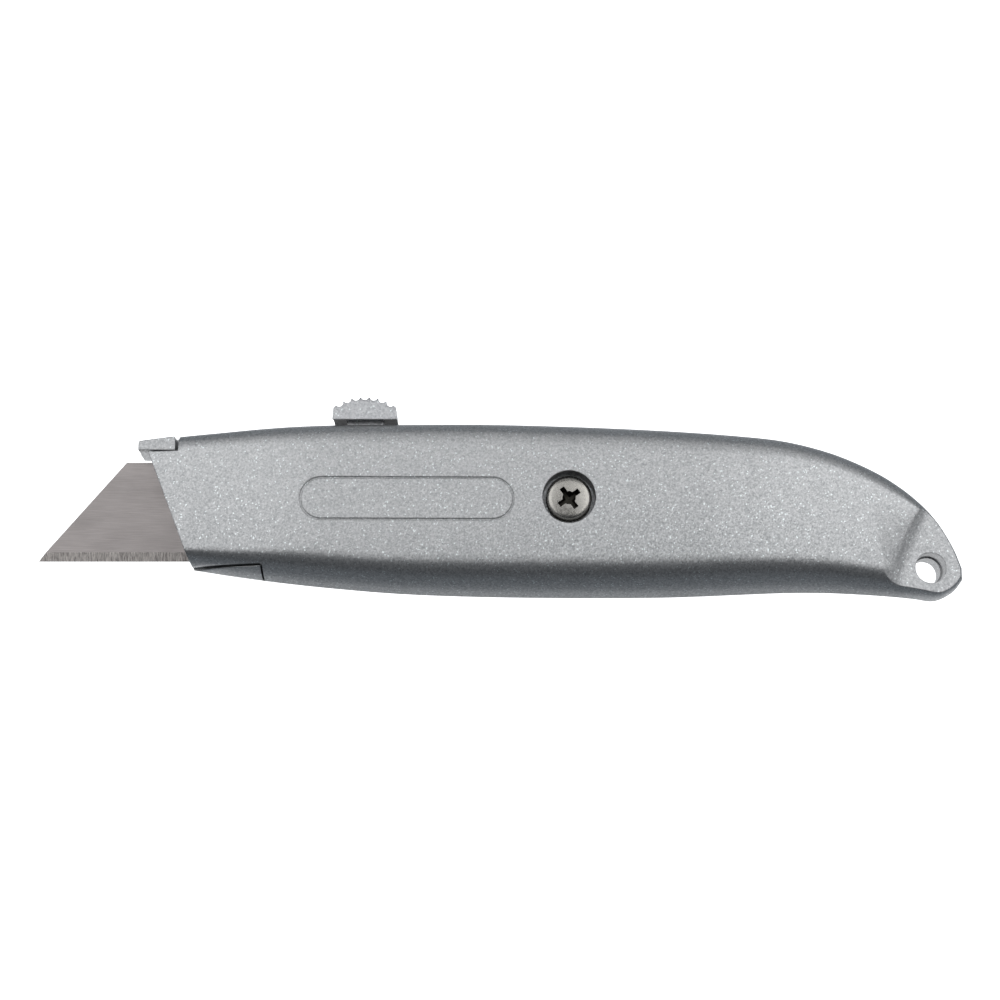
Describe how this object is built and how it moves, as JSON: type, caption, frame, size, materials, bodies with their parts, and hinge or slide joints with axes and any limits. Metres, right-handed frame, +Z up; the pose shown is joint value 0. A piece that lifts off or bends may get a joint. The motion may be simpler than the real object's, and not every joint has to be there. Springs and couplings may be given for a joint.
{
  "type": "utility knife",
  "caption": "Retractable utility knife with a two-piece cast metal handle, a trapezoid blade, a sliding thumb button and blade storage inside.",
  "frame": {"origin": "On the rear shell's flat side, straight under the screw's axis; the knife lies on that side", "axes": "+X along the handle from the blade to the tail, +Y across it to the spine and the thumb button, +Z up out of the front shell, along the screw"},
  "size_m": [0.1737, 0.0382, 0.019],
  "materials": {
    "cast_shell": "silver metallic powder coat, fine speckle, satin",
    "button_zinc": "silver metallic powder coat, satin",
    "screw_steel": "nickel plated, semi-bright",
    "blade_steel": "ground and lightly oiled carbon steel",
    "raw_zinc": "as-cast zinc alloy",
    "spring_steel": "rolled and blued spring steel"
  },
  "bodies": {
    "handle": {"rear_shell": "cast_shell", "spare_blade_1": "blade_steel", "spare_blade_2": "blade_steel", "spare_blade_3": "blade_steel", "spare_blade_4": "blade_steel", "spare_blade_5": "blade_steel", "magazine_clip": "spring_steel"},
    "cover": {"front_shell": "cast_shell"},
    "screw": {"body_screw": "screw_steel"},
    "carrier": {"blade_carrier": "raw_zinc", "blade": "blade_steel", "detent_spring": "spring_steel", "spring_rivet": "screw_steel"},
    "button": {"thumb_button": "button_zinc"}
  },
  "joints": [
    {"name": "blade_slide", "type": "slide", "parent": "handle", "child": "carrier", "axis": [1, 0, 0], "range_m": [0, 0.031]},
    {"name": "button_press", "type": "slide", "parent": "carrier", "child": "button", "axis": [0, -1, 0], "range_m": [0, 0.0008], "stiffness_N_per_m": 1500, "springref_m": -0.001, "deforming": ["detent_spring"]},
    {"name": "cover_lift", "type": "slide", "parent": "handle", "child": "cover", "axis": [0, 0, 1], "range_m": [0, 0.03]},
    {"name": "screw_turn", "type": "hinge", "parent": "cover", "child": "screw", "pos_m": [0, 0, 0.015], "axis": [0, 0, 1], "continuous": true}
  ]
}
